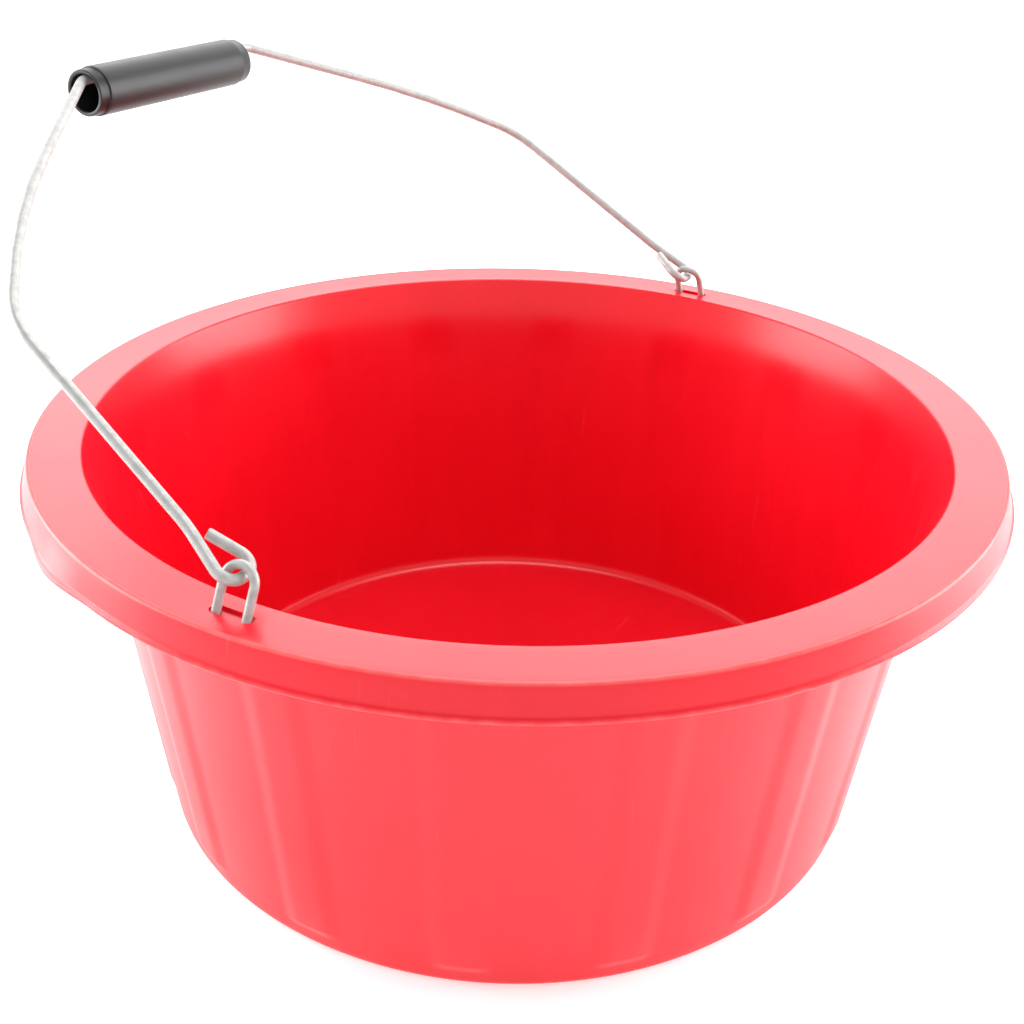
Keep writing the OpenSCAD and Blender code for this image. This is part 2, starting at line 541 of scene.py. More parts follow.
@dataclass(frozen=True)
class MouldedPlastic:
    """Semi-gloss moulded polypropylene with scuffs, pale worn plastic on the bead and foot, and a painted
    highlight line along the rim's outer edge.
    """

    colour: tuple[float, float, float, float] = (0.82, 0.005, 0.020, 1.0)
    deep: tuple[float, float, float, float] = (0.74, 0.003, 0.014, 1.0)
    # Pale colour for real scuffs and edge wear, and for the painted highlight line along the rim's outer edge
    worn_and_highlight: tuple[float, float, float, float] = (0.96, 0.34, 0.30, 1.0)
    roughness: float = 0.30
    grain: float = 0.012 * MM
    rim_z: float = 0.168
    rim_edge_r: float = 0.1965
    bead_z: float = 0.1565

    def material(self) -> bpy.types.Material:
        """Builds the material.

        Returns:
            The red plastic.
        """
        made, bench, shader = plain_material("red moulded plastic")
        place = bench.node("ShaderNodeTexCoord").outputs["Object"]
        axes = bench.node("ShaderNodeSeparateXYZ", None, {"Vector": place})
        x, y, z = (Signal(bench, axes.outputs[i]) for i in range(3))
        r = (x * x + y * y).root()
        cloud = noise(bench, place, 9.0, 3.0, 1.0)
        speck = noise(bench, place, 420.0, 3.0, 2.0)
        flow = self._flow(bench, r, y.angle_from(x), z)
        scuffs = self._scuffs(bench, place)
        # Wear on the bead and foot, plus a painted highlight line along the rim's outer edge
        edges = self._edge_wear_and_highlight(bench, place, r, z)
        tone = (cloud * 0.6 + flow * 0.25 + speck * 0.15).step(0.3, 0.7)
        colour = blend(bench, tone, self.deep, self.colour)
        # The pale mix carries the scuffs, the bead and foot wear and the painted rim highlight
        colour = blend(bench, scuffs * 0.10 + edges * 0.45, colour, self.worn_and_highlight)
        bench.feed(shader.inputs["Base Color"], colour)
        rough = self.roughness + (cloud - 0.5) * 0.14 + scuffs * 0.16 + edges * 0.10
        bench.feed(shader.inputs["Roughness"], rough)
        waves = bump(bench, noise(bench, place, 26.0, 1.0, 3.0), 0.35 * MM)
        grain = bump(bench, noise(bench, place, 1500.0, 3.0, 4.0), self.grain, waves)
        bench.feed(shader.inputs["Normal"], bump(bench, 1.0 - scuffs, 0.02 * MM, grain))
        bench.feed(shader.inputs["IOR"], 1.49)
        return made

    @staticmethod
    def _flow(bench: Bench, r: Signal, turn: Signal, z: Signal) -> Signal:
        """Faint streaks left by the melt as it ran out from the middle of the floor and up the wall.

        Args:
            bench: the material's bench.
            r: distance from the axis.
            turn: angle about the axis.
            z: height.

        Returns:
            The streaks, from 0 to 1.
        """
        streak = bench.node("ShaderNodeCombineXYZ", None, {0: turn * 3.0, 1: r * 6.0, 2: z * 4.0})
        return noise(bench, streak.outputs[0], 4.0, 4.0, 5.0)

    @staticmethod
    def _scuffs(bench: Bench, place: Any) -> Signal:
        """Thin crossing scuffs in broken patches.

        Args:
            bench: the material's bench.
            place: Object coordinates.

        Returns:
            The scuffs, 1 where the surface is scratched.
        """
        found = []
        for seed, angle in ((6.0, 0.6), (7.0, -0.9)):
            turned = bench.node(
                "ShaderNodeMapping", None,
                {"Vector": place, "Rotation": (0.3, angle, angle), "Scale": (18.0, 900.0, 18.0)},
            )
            line = noise(bench, turned.outputs[0], 1.0, 1.0, seed)
            found.append(line.step(0.70, 0.78))
        patches = noise(bench, place, 22.0, 2.0, 8.0).step(0.52, 0.68)
        return (found[0] + found[1]).step(0.0, 1.0) * patches

    def _edge_wear_and_highlight(self, bench: Bench, place: Any, r: Signal, z: Signal) -> Signal:
        """A painted highlight line along the rim's outer edge, and paler worn plastic along the bead and the
        foot.

        Args:
            bench: the material's bench.
            place: Object coordinates.
            r: distance from the axis.
            z: height.

        Returns:
            The wear and the painted highlight, from 0 to 1.
        """
        # The rim line is a steady painted highlight along the rim's outer edge; the bead and foot marks are
        # broken wear
        high = z.step(self.rim_z - 1.3 * MM, self.rim_z - 0.3 * MM)
        rim = high * r.step(self.rim_edge_r - 2 * MM, self.rim_edge_r - 0.9 * MM)
        bead = z.step(self.bead_z + 1.2 * MM, self.bead_z) * r.step(0.195, 0.198)
        foot = z.step(2.2 * MM, 0.2 * MM)
        broken = noise(bench, place, 160.0, 4.0, 9.0).step(0.42, 0.66)
        return rim * (0.55 + broken * 0.2) + (bead * 0.35 + foot * 0.9) * (0.25 + broken * 0.75)


@dataclass(frozen=True)
class ZincWire:
    """Dull galvanised wire with drawing marks along it and a mottled coat."""

    colour: tuple[float, float, float, float] = (0.47, 0.47, 0.455, 1.0)
    dull: tuple[float, float, float, float] = (0.37, 0.37, 0.36, 1.0)
    metallic: float = 0.22
    roughness: float = 0.36

    def material(self) -> bpy.types.Material:
        """Builds the material. It reads the sweep's own "along" and "side" attributes.

        Returns:
            The zinc coat.
        """
        made, bench, shader = plain_material("galvanised wire")
        along = bench.signal("ShaderNodeAttribute", {"attribute_name": "along"}, {}, "Fac")
        side = bench.node("ShaderNodeAttribute", {"attribute_name": "side"}).outputs["Vector"]
        across = bench.node("ShaderNodeSeparateXYZ", None, {"Vector": side})
        marks = bench.node(
            "ShaderNodeCombineXYZ", None, {0: across.outputs[0], 1: across.outputs[1], 2: along * 0.03}
        )
        place = bench.node("ShaderNodeTexCoord").outputs["Object"]
        drawn = noise(bench, marks.outputs[0], 2600.0, 3.0, 11.0)
        coat = noise(bench, place, 330.0, 4.0, 12.0)
        spots = noise(bench, place, 900.0, 2.0, 13.0).step(0.58, 0.74)
        tone = (coat * 0.7 + drawn * 0.3).step(0.34, 0.62)
        colour = blend(bench, tone, self.dull, self.colour)
        colour = blend(bench, spots * 0.2, colour, (0.42, 0.41, 0.39, 1.0))
        bench.feed(shader.inputs["Base Color"], colour)
        bench.feed(shader.inputs["Metallic"], self.metallic)
        bench.feed(shader.inputs["Roughness"], self.roughness + (1.0 - tone) * 0.16 + spots * 0.1)
        ridges = bump(bench, drawn, 0.012 * MM)
        bench.feed(shader.inputs["Normal"], bump(bench, coat, 0.02 * MM, ridges))
        return made


@dataclass(frozen=True)
class GripPlastic:
    """Satin black moulded plastic, greyer where hands have polished it."""

    colour: tuple[float, float, float, float] = (0.004, 0.004, 0.004, 1.0)
    rubbed: tuple[float, float, float, float] = (0.016, 0.015, 0.015, 1.0)
    roughness: float = 0.42

    def material(self) -> bpy.types.Material:
        """Builds the material.

        Returns:
            The black plastic.
        """
        made, bench, shader = plain_material("black grip plastic")
        place = bench.node("ShaderNodeTexCoord").outputs["Object"]
        stretched = bench.node("ShaderNodeMapping", None, {"Vector": place, "Scale": (60.0, 900.0, 900.0)})
        hair = noise(bench, stretched.outputs[0], 1.0, 3.0, 21.0)
        cloud = noise(bench, place, 70.0, 3.0, 22.0)
        rubbed = (cloud * 0.6 + hair * 0.4).step(0.42, 0.66)
        bench.feed(shader.inputs["Base Color"], blend(bench, rubbed * 0.55, self.colour, self.rubbed))
        bench.feed(shader.inputs["Roughness"], self.roughness + (cloud - 0.5) * 0.16 + hair * 0.06)
        grain = bump(bench, noise(bench, place, 2200.0, 3.0, 23.0), 0.02 * MM)
        bench.feed(shader.inputs["Normal"], bump(bench, hair, 0.02 * MM, grain))
        return made


@dataclass(frozen=True)
class StudioFloor:
    """Smooth pale table top."""

    colour: tuple[float, float, float, float] = (0.93, 0.94, 0.94, 1.0)
    shade: tuple[float, float, float, float] = (0.90, 0.92, 0.92, 1.0)
    glow: float = 0.42

    def material(self) -> bpy.types.Material:
        """Builds the material.

        Returns:
            The floor's pale paint.
        """
        made, bench, shader = plain_material("studio floor")
        place = bench.node("ShaderNodeTexCoord").outputs["Object"]
        cloud = noise(bench, place, 3.0, 3.0, 31.0)
        bench.feed(shader.inputs["Base Color"], blend(bench, cloud * 0.4, self.colour, self.shade))
        bench.feed(shader.inputs["Roughness"], 0.62 + cloud * 0.1)
        bench.feed(shader.inputs["Normal"], bump(bench, noise(bench, place, 900.0, 2.0, 32.0), 0.01 * MM))
        bench.feed(shader.inputs["Emission Color"], (1.0, 1.0, 1.0, 1.0))
        bench.feed(shader.inputs["Emission Strength"], self.glow)
        return made


# --------------------------------------------------------------------------------------------------
# Rules
# --------------------------------------------------------------------------------------------------


class TurningRule:
    """Turns a section about Z, then presses ribs, a nick and staple seats into it."""

    INPUTS = {
        "Steps": "NodeSocketInt",
        "Path Radius": "NodeSocketFloat",
        "Rib Count": "NodeSocketInt",
        "Rib Half Angle": "NodeSocketFloat",
        "Rib Soft Angle": "NodeSocketFloat",
        "Rib Height": "NodeSocketFloat",
        "Nick Angle": "NodeSocketFloat",
        "Nick Half Angle": "NodeSocketFloat",
        "Nick Height": "NodeSocketFloat",
        "Seat Radius": "NodeSocketFloat",
        "Seat Spread": "NodeSocketFloat",
        "Seat Depth": "NodeSocketFloat",
        "Seat Height": "NodeSocketFloat",
        "Finish": "NodeSocketMaterial",
    }

    def __init__(self) -> None:
        """Builds the tree once, for every turned piece."""
        self.bench, sizes = rule_tree("turned section", self.INPUTS)
        surface = self._turn(sizes)
        place = self.bench.signal("GeometryNodeInputPosition", None, {})
        axes = self.bench.node("ShaderNodeSeparateXYZ", None, {"Vector": place})
        x, y, z = (Signal(self.bench, axes.outputs[i]) for i in range(3))
        turn = y.angle_from(x)
        out = self._ribs(turn, sizes) + self._nick(turn, sizes)
        sink = self._seats(x, y, z, sizes)
        flat = self.bench.node("ShaderNodeCombineXYZ", None, {0: x, 1: y, 2: 0.0})
        away = self.bench.node("ShaderNodeVectorMath", {"operation": "NORMALIZE"}, {0: flat.outputs[0]})
        push = self.bench.node(
            "ShaderNodeVectorMath", {"operation": "SCALE"}, {0: away.outputs[0], "Scale": out}
        )
        drop = self.bench.node("ShaderNodeCombineXYZ", None, {2: sink * -1.0})
        move = self.bench.node(
            "ShaderNodeVectorMath", {"operation": "ADD"}, {0: push.outputs[0], 1: drop.outputs[0]}
        )
        shaped = self.bench.signal(
            "GeometryNodeSetPosition", None, {"Geometry": surface, "Offset": move.outputs[0]}
        )
        close_tree(self.bench, shaped, sizes["Finish"])

    def _turn(self, sizes: Mapping[str, Signal]) -> Signal:
        """Sweeps the section round a circle.

        Args:
            sizes: the tree's inputs.

        Returns:
            The turned surface, closed at its seam and poles.
        """
        section = self.bench.signal("GeometryNodeMeshToCurve", None, {"Mesh": sizes["Geometry"]})
        circle = self.bench.signal(
            "GeometryNodeCurvePrimitiveCircle", {"mode": "RADIUS"},
            {"Resolution": sizes["Steps"], "Radius": sizes["Path Radius"]},
        )
        upright = self.bench.signal("GeometryNodeSetCurveNormal", {"mode": "Z_UP"}, {"Curve": circle})
        skin = self.bench.signal(
            "GeometryNodeCurveToMesh", None, {"Curve": upright, "Profile Curve": section, "Scale": 1.0}
        )
        return self.bench.signal("GeometryNodeMergeByDistance", None, {"Geometry": skin, "Distance": WELD})

    def _share(self, label: str) -> Signal:
        """Reads one of the section's own shares.

        Args:
            label: the share's name.

        Returns:
            The share at each point.
        """
        return self.bench.signal("GeometryNodeInputNamedAttribute", {"data_type": "FLOAT"}, {"Name": label})

    def _ribs(self, turn: Signal, sizes: Mapping[str, Signal]) -> Signal:
        """Even soft-edged ribs.

        Args:
            turn: angle about the axis.
            sizes: the tree's inputs.

        Returns:
            How far each point goes outwards.
        """
        pitch = TURN / sizes["Rib Count"]
        off = abs((turn + pitch * 0.5) % pitch - pitch * 0.5)
        half, soft = sizes["Rib Half Angle"], sizes["Rib Soft Angle"]
        return off.step(half + soft, half - soft) * self._share("rib") * sizes["Rib Height"]

    def _nick(self, turn: Signal, sizes: Mapping[str, Signal]) -> Signal:
        """One round swelling of the skirt.

        Args:
            turn: angle about the axis.
            sizes: the tree's inputs.

        Returns:
            How far each point goes outwards.
        """
        off = abs((turn - sizes["Nick Angle"] + math.pi) % TURN - math.pi)
        return off.step(sizes["Nick Half Angle"], 0.0) * self._share("nick") * sizes["Nick Height"]

    @staticmethod
    def _seats(x: Signal, y: Signal, z: Signal, sizes: Mapping[str, Signal]) -> Signal:
        """Shallow dishes in the rim, where the staples pull on it.

        Args:
            x: distance along the pivot line.
            y: distance across it.
            z: height.
            sizes: the tree's inputs.

        Returns:
            How far each point sinks.
        """
        along = abs(x) - sizes["Seat Radius"]
        off = (along * along * 4.0 + y * y).root()
        near = off.step(sizes["Seat Spread"], 0.0)
        high = z.step(sizes["Seat Height"] - 8 * MM, sizes["Seat Height"])
        return near * high * sizes["Seat Depth"]


class BendingRule:
    """Sweeps a round wire with cut ends along a path."""

    INPUTS = {
        "Wire Radius": "NodeSocketFloat",
        "Sides": "NodeSocketInt",
        "End Round": "NodeSocketFloat",
        "End Share": "NodeSocketFloat",
        "Finish": "NodeSocketMaterial",
    }
    # Rounding of a cut end, as a share of the wire's diameter, and the share of its radius left at the cut
    BURR_SHARE = 0.14
    END_SHARE = 0.84

    def __init__(self) -> None:
        """Builds the tree once, for every wire."""
        self.bench, sizes = rule_tree("bent wire", self.INPUTS)
        path = self.bench.signal("GeometryNodeMeshToCurve", None, {"Mesh": sizes["Geometry"]})
        travel = self.bench.node("GeometryNodeSplineParameter")
        marked = self.bench.signal(
            "GeometryNodeStoreNamedAttribute", {"data_type": "FLOAT", "domain": "POINT"},
            {"Geometry": path, "Name": "along", "Value": travel.outputs["Length"]},
        )
        off = self.bench.signal(
            "GeometryNodeInputNamedAttribute", {"data_type": "FLOAT"}, {"Name": "from_end"}
        )
        full = (1.0 - (1.0 - off / sizes["End Round"]).step(0.0, 1.0) * (1.0 - sizes["End Share"]))
        ring = self.bench.signal(
            "GeometryNodeCurvePrimitiveCircle", {"mode": "RADIUS"},
            {"Resolution": sizes["Sides"], "Radius": sizes["Wire Radius"]},
        )
        spot = self.bench.signal("GeometryNodeInputPosition", None, {})
        sided = self.bench.signal(
            "GeometryNodeStoreNamedAttribute", {"data_type": "FLOAT_VECTOR", "domain": "POINT"},
            {"Geometry": ring, "Name": "side", "Value": spot},
        )
        skin = self.bench.signal(
            "GeometryNodeCurveToMesh", None,
            {"Curve": marked, "Profile Curve": sided, "Scale": full, "Fill Caps": True},
        )
        close_tree(self.bench, skin, sizes["Finish"])

    def run(
        self,
        name: str,
        points: Sequence[Vector],
        wire_d: float,
        finish: bpy.types.Material,
        sides: int = 28,
    ) -> bpy.types.Object:
        """Makes one wire.

        Args:
            name: the piece's name.
            points: its centre line.
            wire_d: its diameter.
            finish: its material.
            sides: how many sides its section has.

        Returns:
            The wire.
        """
        burr = wire_d * self.BURR_SHARE
        ends = [burr * share for share in (0.0, 0.12, 0.35, 0.7, 1.0)]
        line = self._with_ends(points, ends)
        travel = [0.0]
        for before, after in zip(line, line[1:]):
            travel.append(travel[-1] + (after - before).length)
        off = [min(t, travel[-1] - t) for t in travel]
        seed = chain_mesh(name + " path", line, False, {"from_end": off})
        piece = grow(name, seed, self.bench, {
            "Wire Radius": wire_d / 2,
            "Sides": sides,
            "End Round": burr,
            "End Share": self.END_SHARE,
            "Finish": finish,
        })
        tidy(piece, 60.0)
        return piece

    @staticmethod
    def _with_ends(points: Sequence[Vector], ends: Sequence[float]) -> list[Vector]:
        """Adds close points at both ends of a line, where the cut is rounded.

        Args:
            points: the line.
            ends: distances from the end.

        Returns:
            The line with the added points.
        """
        first, last = (points[1] - points[0]).normalized(), (points[-2] - points[-1]).normalized()
        head = [points[0] + first * d for d in ends]
        tail = [points[-1] + last * d for d in reversed(ends)]
        return head + list(points[1:-1]) + tail


# --------------------------------------------------------------------------------------------------
# Sub-assemblies
# --------------------------------------------------------------------------------------------------


@dataclass
class BucketShell:
    """One moulding: sloping ribbed wall, floor, foot ring, flat rim, skirt and bead."""

    # Where the wall's outside curves into the rim: distance past the wall, and depth below the rim's underside
    ROOT = ((0.15 * MM, 1.1 * MM), (0.6 * MM, 0.35 * MM), (1.5 * MM, 0.0))
    # Radius and depth of each ring of the dimple in the middle of the floor
    DIMPLE = ((3.2 * MM, 0.1 * MM), (2.2 * MM, 0.3 * MM), (0.0, 0.35 * MM))

    turning: TurningRule
    finish: bpy.types.Material
    height: float = 168 * MM
    rim_r: float = 196.2 * MM
    base_r: float = 154.4 * MM
    draft_deg: float = 6.6
    wall: float = 2 * MM
    floor_z: float = 7.5 * MM
    floor_t: float = 2.6 * MM
    foot_in_r: float = 143 * MM
    foot_round: float = 4.5 * MM
    floor_round: float = 5.5 * MM
    mouth_r: float = 175.9 * MM
    flare_z: float = 151 * MM
    flare_soft: float = 7 * MM
    mouth_round: float = 1.2 * MM
    flange: float = 2.2 * MM
    skirt_deep: float = 13 * MM
    skirt_t: float = 1.8 * MM
    skirt_draft_deg: float = 15.0
    bead_r: float = 200 * MM
    bead_round: float = 1.3 * MM
    bead_step: float = 0.45 * MM
    edge_round: float = 1.4 * MM
    rib_count: int = 16
    rib_deg: float = 7.0
    rib_soft_deg: float = 1.6
    rib_height: float = 1.1 * MM
    nick_deg: float = 155.5
    nick_half_deg: float = 8.5
    nick_height: float = 2.6 * MM
    staple_r: float = 185 * MM
    staple_gap: float = 12.2 * MM
    staple_tilt_deg: float = 26.0
    leg_hole_d: float = 3.6 * MM
    pocket_w: float = 4.8 * MM
    pocket_deep: float = 1.1 * MM
    seat_spread: float = 17 * MM
    seat_deep: float = 0.35 * MM
    steps: int = 720

    def wall_out(self, z: float) -> float:
        """Radius of the outside of the wall at a height."""
        return self.base_r + z * math.tan(math.radians(self.draft_deg))

    def wall_in(self, z: float) -> float:
        """Radius of the inside of the wall at a height."""
        return self.wall_out(z) - self.wall / math.cos(math.radians(self.draft_deg))

    @property
    def flare_slope(self) -> float:
        """Slope of the flared top of the wall from upright."""
        return math.atan((self.mouth_r - self.wall_in(self.flare_z)) / (self.height - self.flare_z))

    def inner(self, z: float) -> float:
        """Radius of the inside at a height, with the soft flare towards the mouth."""
        past = z - self.flare_z
        extra = math.tan(self.flare_slope) - math.tan(math.radians(self.draft_deg))
        soft = (past + math.hypot(past, self.flare_soft)) / 2
        top = self.height - self.flare_z
        full = (top + math.hypot(top, self.flare_soft)) / 2
        return self.wall_in(z) + extra * top * soft / full

    def skirt_out(self, z: float) -> float:
        """Radius of the outside of the skirt at a height."""
        return self.rim_r + (self.height - z) * math.tan(math.radians(self.skirt_draft_deg))

    def section(self) -> list[SectionPoint]:
        """Half section, from the middle of the underside outwards and round to the middle of the floor.

        Returns:
            The section's points, with their share of the ribs and of the nick.
        """
        return self._underside() + self._outside() + self._rim() + self._inside()

    def _underside(self) -> list[SectionPoint]:
        """Underside of the floor with the gate mark, and the foot ring.

        Returns:
            Points from the axis to the outer lower corner.
        """
        under = self.floor_z - self.floor_t
        stub = under - 0.9 * MM
        gate = [(0.0, stub), (1.6 * MM, stub), (1.9 * MM, under - 0.6 * MM), (2.2 * MM, under)]
        plate = [(2.9 * MM, under)] + line_points((2.9 * MM, under), (self.foot_in_r - 3 * MM, under), 4)
        hollow = arc_points((self.foot_in_r - 2.4 * MM, under - 1.5 * MM), 1.5 * MM, 90, 12, 3)
        toe = arc_points((self.foot_in_r + 0.5 * MM, 0.8 * MM), 0.8 * MM, 192, 270, 3)
        lean = math.cos(math.radians(self.draft_deg))
        centre = (self.wall_out(self.foot_round) - self.foot_round / lean, self.foot_round)
        sole = line_points(toe[-1], (centre[0], 0.0), 2)
        heel = arc_points(centre, self.foot_round, -90, -self.draft_deg, 7)
        return [SectionPoint(r, z) for r, z in gate + plate + hollow + toe + sole + heel]

    def _outside(self) -> list[SectionPoint]:
        """Outside of the wall, underside of the rim and the inside of the skirt.

        Returns:
            Points from the outer lower corner to the foot of the skirt's inside.
        """
        under = self.height - self.flange
        low, high = 7.5 * MM, 12.5 * MM
        levels = [low + (high - low) * i / 5 for i in range(6)]
        levels += [high + (under - 2 * MM - high) * i / 8 for i in range(1, 9)]
        wall = []
        thick = self.wall_out(0.0) - self.wall_in(0.0)
        fade = 10 * MM
        for z in levels:
            share = min(1.0, max(0.0, (z - low) / (high - low)), max(0.0, (under - 2 * MM - z) / fade))
            wall.append(SectionPoint(self.inner(z) + thick, z, rib=share * share * (3 - 2 * share)))
        top = self.inner(under) + thick
        for past, drop in self.ROOT:
            wall.append(SectionPoint(top + past, under - drop))
        skirt_z = self.height - self.skirt_deep
        inner_top = self.skirt_out(under) - self.skirt_t
        wall += [SectionPoint(r, under) for r, _ in line_points((top + 3.5 * MM, 0.0), (inner_top, 0.0), 3)]
        wall.append(SectionPoint(inner_top - 0.7 * MM, under))
        wall.append(SectionPoint(inner_top - 0.15 * MM, under - 0.3 * MM, nick=0.05))
        for i in range(1, 6):
            z = under - (under - skirt_z) * i / 5
            wall.append(SectionPoint(self.skirt_out(z) - self.skirt_t, z, nick=(i / 5) ** 1.2))
        return wall

    def _rim(self) -> list[SectionPoint]:
        """Bead, skirt, outer edge, flat rim and mouth.

        Returns:
            Points from the foot of the skirt up and over the rim to the inside of the wall.
        """
        skirt_z = self.height - self.skirt_deep
        bead_centre = (self.bead_r - self.bead_round, skirt_z + self.bead_round)
        bead = arc_points(bead_centre, self.bead_round, -90, 72, 9)
        neck_z = skirt_z + 2 * self.bead_round + self.bead_step
        edge_z = self.height - self.edge_round
        lean = math.radians(self.skirt_draft_deg)
        edge_centre = (self.skirt_out(edge_z) - self.edge_round / math.cos(lean), edge_z)
        skirt_top = arc_points(edge_centre, self.edge_round, self.skirt_draft_deg, 90, 7)
        face = [(self.skirt_out(neck_z), neck_z), (self.skirt_out(neck_z + 0.5 * MM), neck_z + 0.5 * MM)]
        face += line_points(face[-1], skirt_top[0], 5)
        mouth_z = self.height - self.mouth_round
        mouth_centre = (self.inner(mouth_z) + self.mouth_round / math.cos(self.flare_slope), mouth_z)
        mouth = arc_points(mouth_centre, self.mouth_round, 90, 180 - math.degrees(self.flare_slope), 7)
        flat = line_points(skirt_top[-1], mouth[0], 9)
        points = []
        for r, z in bead + face + skirt_top:
            share = max(0.0, (self.height - 1.5 * MM - z) / (self.skirt_deep - 1.5 * MM))
            points.append(SectionPoint(r, z, nick=min(1.0, share) ** 1.2))
        return points + [SectionPoint(r, z) for r, z in flat + mouth]

    def _inside(self) -> list[SectionPoint]:
        """Inside of the wall with the grooves behind the ribs, floor fillet and floor.

        Returns:
            Points from the mouth down to the axis.
        """
        cos_draft = math.cos(math.radians(self.draft_deg))
        fillet_z = self.floor_z + self.floor_round
        high, low = self.flare_z + 1 * MM, fillet_z + 0.5 * MM
        ramp = 24 * MM
        levels = [high + (self.height - self.mouth_round - 1 * MM - high) * i / 5 for i in range(5, 0, -1)]
        levels += [high - ramp * i / 7 for i in range(8)]
        levels += [high - ramp + (low + ramp - high + ramp) * i / 7 for i in range(1, 7)]
        levels += [low + ramp * (6 - i) / 6 for i in range(7)]
        wall = []
        for z in levels:
            share = max(0.0, min(1.0, (high - z) / ramp, (z - low) / ramp))
            wall.append(SectionPoint(self.inner(z), z, rib=share * share * (3 - 2 * share)))
        centre = (self.inner(fillet_z) - self.floor_round / cos_draft, fillet_z)
        fillet = arc_points(centre, self.floor_round, -self.draft_deg, -90, 7)
        floor = line_points(fillet[-1], (4 * MM, self.floor_z), 5) + [(4 * MM, self.floor_z)]
        dimple = [(r, self.floor_z - sunk) for r, sunk in self.DIMPLE]
        return wall + [SectionPoint(r, z) for r, z in fillet + floor + dimple]

    def build(self) -> bpy.types.Object:
        """Turns the section, presses the ribs and cuts the staples' seats.

        Returns:
            The bucket.
        """
        section = self.section()
        path_r = self.bead_r
        seed = chain_mesh(
            "bucket section", [Vector((p.r - path_r, -p.z, 0.0)) for p in section], False,
            {"rib": [p.rib for p in section], "nick": [p.nick for p in section]},
        )
        piece = grow("bucket", seed, self.turning.bench, {
            "Steps": self.steps,
            "Path Radius": path_r,
            "Rib Count": self.rib_count,
            "Rib Half Angle": math.radians(self.rib_deg / 2),
            "Rib Soft Angle": math.radians(self.rib_soft_deg),
            "Rib Height": self.rib_height,
            "Nick Angle": math.radians(self.nick_deg),
            "Nick Half Angle": math.radians(self.nick_half_deg),
            "Nick Height": self.nick_height,
            "Seat Radius": self.staple_r,
            "Seat Spread": self.seat_spread,
            "Seat Depth": self.seat_deep,
            "Seat Height": self.height,
            "Finish": self.finish,
        })
        tidy(piece, 40.0)
        self._cut_seats(piece)
        tidy(piece, 40.0)
        return piece

    def _cut_seats(self, piece: bpy.types.Object) -> None:
        """Cuts the leg holes and the pockets between them.

        Args:
            piece: the turned bucket.
        """
        tools = [cutter(side) for side in Side for cutter in (self._leg_tool, self._pocket_tool)]
        for tool in tools:
            cut = piece.modifiers.new("seat", "BOOLEAN")
            cut.operation = "DIFFERENCE"
            cut.solver = "EXACT"
            cut.object = tool
        depsgraph = bpy.context.evaluated_depsgraph_get()
        made = bpy.data.meshes.new_from_object(
            piece.evaluated_get(depsgraph), preserve_all_data_layers=True, depsgraph=depsgraph
        )
        piece.modifiers.clear()
        before = piece.data
        piece.data = made
        made.name = "bucket"
        bpy.data.meshes.remove(before)
        for tool in tools:
            shape = tool.data
            bpy.data.objects.remove(tool)
            bpy.data.meshes.remove(shape)

    def _leg_tool(self, side: Side) -> bpy.types.Object:
        """The two leg holes of one staple.

        Args:
            side: which staple.

        Returns:
            The cutting tool.
        """
        made = bmesh.new()
        half = self.staple_gap / 2
        tilt = Matrix.Rotation(math.radians(-self.staple_tilt_deg), 4, "Y")
        for y in (-half, half):
            seat = Matrix.Translation((self.staple_r, 0, self.height))
            spot = seat @ tilt @ Matrix.Translation((0, y, -1.5 * MM))
            bmesh.ops.create_cone(
                made, cap_ends=True, segments=32, radius1=self.leg_hole_d / 2, radius2=self.leg_hole_d / 2,
                depth=14 * MM, matrix=spot,
            )
        return self._as_tool(made, side)

    def _pocket_tool(self, side: Side) -> bpy.types.Object:
        """The shallow pocket between the two legs of one staple.

        Args:
            side: which staple.

        Returns:
            The cutting tool.
        """
        made = bmesh.new()
        half = self.staple_gap / 2
        top = self.height - self.seat_deep
        ends = [(half + self.pocket_w / 2 * math.sin(a), self.pocket_w / 2 * math.cos(a)) for a in
                (math.pi * i / 16 for i in range(17))]
        outline = [(x, y) for y, x in ends] + [(-x, -y) for y, x in ends]
        low = [made.verts.new((self.staple_r + x, y, top - self.pocket_deep)) for x, y in outline]
        high = [made.verts.new((self.staple_r + x * 1.12, y * 1.03, top + 2 * MM)) for x, y in outline]
        made.faces.new(low)
        made.faces.new(list(reversed(high)))
        for i in range(len(low)):
            j = (i + 1) % len(low)
            made.faces.new((low[j], low[i], high[i], high[j]))
        return self._as_tool(made, side)

    @staticmethod
    def _as_tool(made: bmesh.types.BMesh, side: Side) -> bpy.types.Object:
        """Turns a cutting shape into an object, at one of the two staples.

        Args:
            made: the shape, as it stands at the right staple.
            side: which staple it is for.

        Returns:
            The cutting tool.
        """
        bmesh.ops.recalc_face_normals(made, faces=made.faces)
        if side is Side.LEFT:
            bmesh.ops.rotate(made, verts=made.verts, matrix=Matrix.Rotation(math.pi, 3, "Z"))
        mesh = bpy.data.meshes.new("seat tool")
        made.to_mesh(mesh)
        made.free()
        tool = bpy.data.objects.new("seat tool", mesh)
        bpy.context.scene.collection.objects.link(tool)
        return tool

    def dress(self) -> bpy.types.Object:
        """Builds the bucket and hangs it on its body."""
        return mount(self.build(), Body.BUCKET, Slot.PLASTIC, "bucket_shell")


